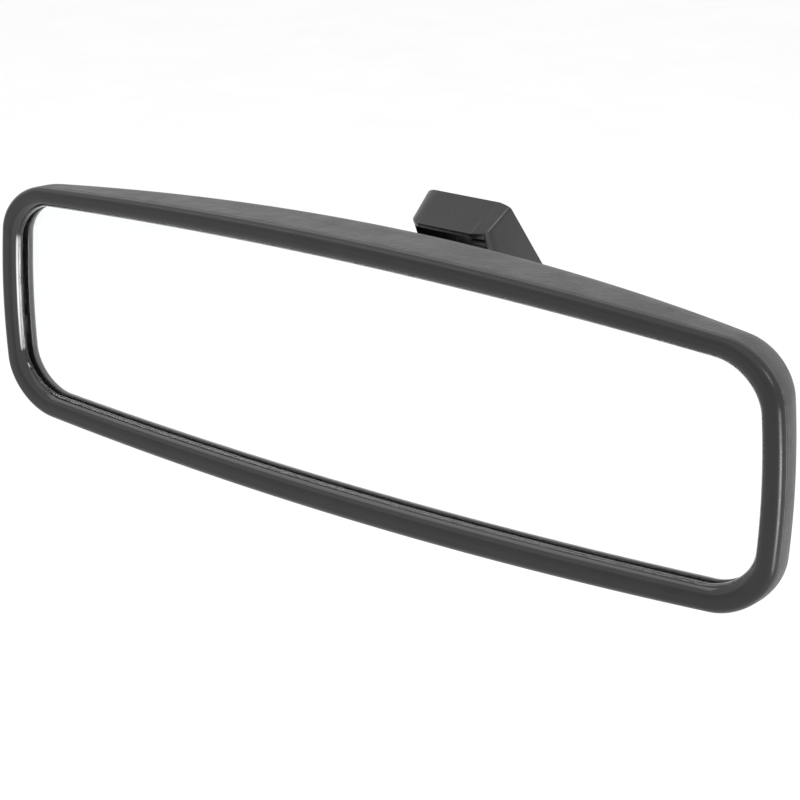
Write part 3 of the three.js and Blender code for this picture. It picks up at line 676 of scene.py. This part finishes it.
def make_foot_cover():
    """The thin cover: its side profile cut to the foot's outline and nose, and hollowed from the front."""
    half = FOOT_WIDTH / 2
    profile = rounded(
        [
            (COVER_RIM, FOOT_TOP, 0.2),
            (NOSE_Y, FOOT_TOP + NOSE_RISE, 0.35),
            (*COVER_FRONT, 2),
            (-22.4, -15.6, 1.2),
            (-19.6, -19.5, 3),
            (-9, FOOT_BOTTOM, 5),
            (COVER_RIM, FOOT_BOTTOM, 0.2),
        ],
        steps=6,
        support=0.05,
    )
    cover = prism("foot_shell", profile, -half - 1, half + 1, along_x)
    boolean(cover, prism("plan", foot_outline(0), *PLAN_LEVELS, climbing), "INTERSECT")
    boolean(cover, nose_block(), "INTERSECT")
    inner = [
        (1, FOOT_TOP - FOOT_WALL),
        (HOLLOW_FRONT_Y, FOOT_TOP - FOOT_WALL + 3 * NOSE_RISE),
        (HOLLOW_FRONT_Y, -14),
        (-20.8, -15),
        (-19.6, -17.1),
        (-17.2, -19.3),
        (-8.6, FOOT_BOTTOM + FOOT_WALL),
        (1, FOOT_BOTTOM + FOOT_WALL),
    ]
    wall = half - FOOT_WALL
    hollow = prism("hollow", inner, -wall, wall, along_x)
    boolean(hollow, prism("inner_plan", foot_outline(FOOT_WALL), *PLAN_LEVELS, climbing), "INTERSECT")
    boolean(cover, hollow, "DIFFERENCE")
    bevel(cover, COVER_BEVEL, 38)
    return smooth_below(tapered(cover, half), 40)


def paint_shade_inside(obj, material):
    """Gives a cover's inside, whose faces look at another part of the same piece, a second finish: a near-black
    one that is painted shade for the shadow inside the cover.
    """
    mesh = obj.data
    mesh.materials.append(material)
    points = [vertex.co for vertex in mesh.vertices]
    tree = BVHTree.FromPolygons(points, [tuple(face.vertices) for face in mesh.polygons])
    off_the_face = 0.01 * MM
    for face in mesh.polygons:
        if tree.ray_cast(face.center + face.normal * off_the_face, face.normal)[0]:
            face.material_index = 1


# ---------------------------------------------------------------- materials


class Nodes:
    """A short way to write a material's nodes."""

    def __init__(self, name):
        self.material = bpy.data.materials.new(name)
        self.material.use_nodes = True
        self.tree = self.material.node_tree
        self.shader = self.tree.nodes["Principled BSDF"]
        coordinates = self.tree.nodes.new("ShaderNodeTexCoord")
        self.position = coordinates.outputs["Object"]

    def link(self, source, target):
        self.tree.links.new(source, target)

    def add(self, kind, **settings):
        """A new node with these of its properties set."""
        node = self.tree.nodes.new(kind)
        for key, value in settings.items():
            setattr(node, key, value)
        return node

    def noise(self, size, detail=2.0, roughness=0.5, stretch=None):
        """Noise whose features are about size millimetres across."""
        node = self.add("ShaderNodeTexNoise")
        node.inputs["Scale"].default_value = 1 / (size * MM)
        node.inputs["Detail"].default_value = detail
        node.inputs["Roughness"].default_value = roughness
        source = self.position
        if stretch:
            mapping = self.add("ShaderNodeMapping")
            mapping.inputs["Scale"].default_value = stretch
            self.link(source, mapping.inputs["Vector"])
            source = mapping.outputs["Vector"]
        self.link(source, node.inputs["Vector"])
        return node.outputs["Fac"]

    def cells(self, size):
        """Rounded cells about size millimetres across, dark at their middles."""
        node = self.add("ShaderNodeTexVoronoi", feature="SMOOTH_F1")
        node.inputs["Scale"].default_value = 1 / (size * MM)
        node.inputs["Smoothness"].default_value = 0.6
        self.link(self.position, node.inputs["Vector"])
        return node.outputs["Distance"]

    def sum(self, a, b, weight):
        """a plus b times weight."""
        node = self.add("ShaderNodeMath", operation="MULTIPLY_ADD")
        node.inputs[1].default_value = weight
        self.link(b, node.inputs[0])
        self.link(a, node.inputs[2])
        return node.outputs["Value"]

    def set_colour(self, source, dark, light):
        """Colours the surface from dark to light as the source rises."""
        node = self.add("ShaderNodeValToRGB")
        for element, position, colour in zip(node.color_ramp.elements, (0.3, 0.7), (dark, light)):
            element.position = position
            element.color = (*colour, 1)
        self.link(source, node.inputs["Fac"])
        self.link(node.outputs["Color"], self.shader.inputs["Base Color"])

    def set_roughness(self, source, low, high, from_low=0.3, from_high=0.7):
        """Roughens the surface from low to high as the source rises between its own two values."""
        node = self.add("ShaderNodeMapRange")
        values = {"From Min": from_low, "From Max": from_high, "To Min": low, "To Max": high}
        for key, value in values.items():
            node.inputs[key].default_value = value
        self.link(source, node.inputs["Value"])
        self.link(node.outputs["Result"], self.shader.inputs["Roughness"])

    def bump(self, height, depth, strength=1.0):
        """Raises the surface by up to depth millimetres."""
        node = self.add("ShaderNodeBump")
        node.inputs["Distance"].default_value = depth * MM
        node.inputs["Strength"].default_value = strength
        self.link(height, node.inputs["Height"])
        self.link(node.outputs["Normal"], self.shader.inputs["Normal"])


def grey(value, warmth=0.0):
    """A neutral colour, or a warm one with more red and less blue."""
    return (value * (1 + warmth), value, value * (1 - warmth))


def moulded_plastic(name, shade, roughness, grain, depth, mottle=0.12, spread=0.05, specular=0.5):
    """Moulded plastic, with a surface grain whose size and depth are in millimetres.

    Its shade changes by the share mottle, and its roughness by spread.
    """
    nodes = Nodes(name)
    nodes.shader.inputs["Specular IOR Level"].default_value = specular
    broad = nodes.noise(9, detail=3)
    fine = nodes.noise(grain, detail=3, roughness=0.6)
    nodes.set_colour(broad, grey(shade * (1 - mottle)), grey(shade * (1 + mottle)))
    gloss = nodes.sum(nodes.noise(4, detail=4), fine, 0.5)
    nodes.set_roughness(gloss, roughness - spread, roughness + spread, from_low=0.5, from_high=1.0)
    nodes.bump(nodes.sum(fine, nodes.cells(grain * 1.7), 0.8), depth)
    return nodes.material


def metal(name, shade, roughness, grain, depth=0.01, brushed=(1, 1, 1), warmth=0.0):
    """Bare metal with fine marks, which brushed draws together along an axis."""
    nodes = Nodes(name)
    nodes.shader.inputs["Metallic"].default_value = 1.0
    streaks = nodes.noise(grain, detail=4, roughness=0.6, stretch=brushed)
    nodes.set_colour(nodes.noise(5, detail=3), grey(shade * 0.88, warmth), grey(shade, warmth))
    nodes.set_roughness(streaks, roughness * 0.75, roughness * 1.3)
    nodes.bump(streaks, depth, 0.6)
    return nodes.material


def mirror_chrome():
    """The reflecting layer: nearly perfect, with a faint haze."""
    nodes = Nodes("mirror_chrome")
    nodes.shader.inputs["Metallic"].default_value = 1.0
    haze = nodes.noise(35, detail=5, roughness=0.65)
    nodes.set_colour(haze, (0.955, 0.962, 0.965), (0.975, 0.98, 0.982))
    nodes.set_roughness(haze, 0.008, 0.022)
    return nodes.material


def clear_glass():
    """Float glass, a little green."""
    nodes = Nodes("glass_body")
    nodes.shader.inputs["Transmission Weight"].default_value = 1.0
    nodes.shader.inputs["IOR"].default_value = 1.52
    nodes.set_colour(nodes.noise(20, detail=2), (0.990, 0.996, 0.994), (0.994, 0.998, 0.997))
    nodes.set_roughness(nodes.noise(0.15, detail=2), 0.0, 0.008)
    return nodes.material


def soft_foam(name, shade, pore):
    """Dull foam whose pores are about pore millimetres across."""
    nodes = Nodes(name)
    nodes.set_colour(nodes.noise(6), grey(shade * 0.8), grey(shade * 1.2))
    nodes.set_roughness(nodes.noise(2), 0.82, 0.95)
    nodes.bump(nodes.cells(pore), pore * 0.4)
    return nodes.material


BEZEL = moulded_plastic("bezel_plastic", 0.011, 0.3, grain=0.25, depth=0.004, specular=0.36)
POLISHED = moulded_plastic(
    "polished_bezel_edge", 0.010, 0.1, grain=0.4, depth=0.001, specular=0.6, spread=0.02
)
HOUSING = moulded_plastic("housing_plastic", 0.044, 0.5, grain=0.8, depth=0.1, mottle=0.32)
FOOT = moulded_plastic("foot_plastic", 0.013, 0.3, grain=0.25, depth=0.004)
# painted shade: the cover's inside is made near black to stand in for the shadow there, not for its own colour
FOOT_INSIDE_PAINTED_SHADE = moulded_plastic("foot_inside_painted_shade", 0.002, 0.7, grain=0.25, depth=0.004, specular=0.04)
ACETAL = moulded_plastic("acetal", 0.62, 0.38, grain=0.5, depth=0.004, mottle=0.03)
CAST = moulded_plastic("coated_casting", 0.008, 0.55, grain=0.6, depth=0.03, specular=0.3)
PLATED = metal("zinc_plating", 0.62, 0.3, grain=0.3, warmth=0.03)
SPRING = metal("spring_steel", 0.42, 0.28, grain=0.4, brushed=(1, 1, 12))
PLATE = metal("sintered_steel", 0.36, 0.5, grain=0.2, depth=0.02)
CHROME = mirror_chrome()
GLASS = clear_glass()
FOAM = soft_foam("closed_cell_foam", 0.03, pore=0.5)
ADHESIVE = soft_foam("acrylic_foam_tape", 0.02, pore=0.3)


def set_material(obj, material):
    obj.data.materials.clear()
    obj.data.materials.append(material)


def add_piece(obj, body, material, node):
    """Puts a piece in the place of one CAD node."""
    set_material(obj, material)
    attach(obj, body)
    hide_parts(node)


bezel_piece, bezel_section, bezel_count = make_bezel()
add_piece(bezel_piece, "head", BEZEL, "front_bezel")
polish_window_edge(bezel_piece, bezel_section, bezel_count, POLISHED)
add_piece(make_chrome_layer(), "head", CHROME, "chrome_layer")
add_piece(make_glass(), "head", GLASS, "mirror_glass")
add_piece(make_housing(), "head", HOUSING, "rear_housing")
add_piece(make_socket(), "head", ACETAL, "socket_cap")
add_piece(make_liner(), "liner", ACETAL, "ball_liner")
add_piece(make_arm(), "foot", CAST, "mounting_arm")
foot_piece = make_foot_cover()
add_piece(foot_piece, "foot", FOOT, "foot_cover")
# paints shade on the cover's inside with the near-black finish
paint_shade_inside(foot_piece, FOOT_INSIDE_PAINTED_SHADE)

CARRIED_OVER = {
    "adhesive_pad": ADHESIVE,
    "backing_foam": FOAM,
    "carrier_plate": ACETAL,
    "disc_spring": SPRING,
    "locking_screw": PLATED,
    "pressure_cup": ACETAL,
    "retaining_spring": SPRING,
    "windscreen_plate": PLATE,
}
for number in range(1, 5):
    CARRIED_OVER[f"socket_screw_{number}"] = PLATED
    CARRIED_OVER[f"carrier_screw_{number}"] = PLATED
for node, material in CARRIED_OVER.items():
    set_material(frame["nodes"][node], material)

# ---------------------------------------------------------------- floor, light and camera

FLOOR_BELOW = 0.22
FLOOR_SIZE = 30

HEAD_MIDDLE = Vector((0, 0, 0))  # places on the head are in the head frame, in metres
WINDOW_LEFT_EDGE = Vector((-0.1145, 0.003, 0))

FOCAL_LENGTH = 119.39
SENSOR_WIDTH = 36
CAMERA_AZIMUTH = 40.48
CAMERA_ELEVATION = 17.78
CAMERA_DISTANCE = 0.609
CAMERA_TARGET = Vector((0.01741, 0, -0.000457))


def make_floor():
    half = FLOOR_SIZE / 2
    z = cad_bounds[0].z - FLOOR_BELOW
    corners = [(-half, -half, z), (half, -half, z), (half, half, z), (-half, half, z)]
    mesh = bpy.data.meshes.new("floor")
    mesh.from_pydata(corners, [], [(0, 1, 2, 3)])
    floor = bpy.data.objects.new("floor", mesh)
    bpy.context.scene.collection.objects.link(floor)
    nodes = Nodes("pale_floor")
    nodes.set_colour(nodes.noise(60, detail=3), grey(0.93), grey(0.95))
    nodes.shader.inputs["Roughness"].default_value = 0.9
    nodes.shader.inputs["Specular IOR Level"].default_value = 0.1
    set_material(floor, nodes.material)


def direction(azimuth, elevation):
    """From the head towards azimuth (0 is -Y, 90 is +X) and elevation, in degrees."""
    a, e = math.radians(azimuth), math.radians(elevation)
    return Vector((math.sin(a) * math.cos(e), -math.cos(a) * math.cos(e), math.sin(e)))


def face_head(name, data, azimuth, elevation, distance, target):
    """Places a light or camera at a distance from a point of the head, facing it."""
    obj = bpy.data.objects.new(name, data)
    towards = direction(azimuth, elevation)
    obj.location = head_origin + target + towards * distance
    obj.rotation_euler = towards.to_track_quat("Z", "Y").to_euler()
    bpy.context.scene.collection.objects.link(obj)
    return obj


def softbox(name, azimuth, elevation, distance, width, height, radiance, grid=None, target=HEAD_MIDDLE):
    """An area light of a given radiance. A grid keeps its light within an angle, in degrees."""
    light = bpy.data.lights.new(name, "AREA")
    light.shape = "RECTANGLE"
    light.size = width
    light.size_y = height
    light.energy = radiance * math.pi * width * height
    if grid:
        half = math.radians(grid) / 2
        light.spread = 2 * half
        light.energy *= 1 - half / math.tan(half)
    face_head(name, light, azimuth, elevation, distance, target)


def make_lights():
    softbox("top_softbox", 20, 75, distance=1.6, width=1.6, height=1.6, radiance=0.6)
    softbox("upper_left_box", -64, 46, distance=1.2, width=0.5, height=0.5, radiance=1.3)
    softbox("right_box", 85, 44, distance=1.2, width=0.25, height=0.25, radiance=13)
    softbox(
        "side_grid_box", 76, -17, distance=0.36, width=0.17, height=0.2, radiance=26,
        grid=36, target=WINDOW_LEFT_EDGE,
    )


def make_world():
    world = bpy.data.worlds.new("white_studio")
    bpy.context.scene.world = world
    world.use_nodes = True
    background = world.node_tree.nodes["Background"]
    background.inputs["Color"].default_value = (1, 1, 1, 1)
    background.inputs["Strength"].default_value = 1.0


def make_camera():
    data = bpy.data.cameras.new("camera")
    data.lens = FOCAL_LENGTH
    data.sensor_width = SENSOR_WIDTH
    bpy.context.scene.camera = face_head(
        "camera", data, CAMERA_AZIMUTH, CAMERA_ELEVATION, CAMERA_DISTANCE, CAMERA_TARGET
    )


make_floor()
make_world()
make_lights()
make_camera()
bpy.context.scene.view_settings.view_transform = "Standard"
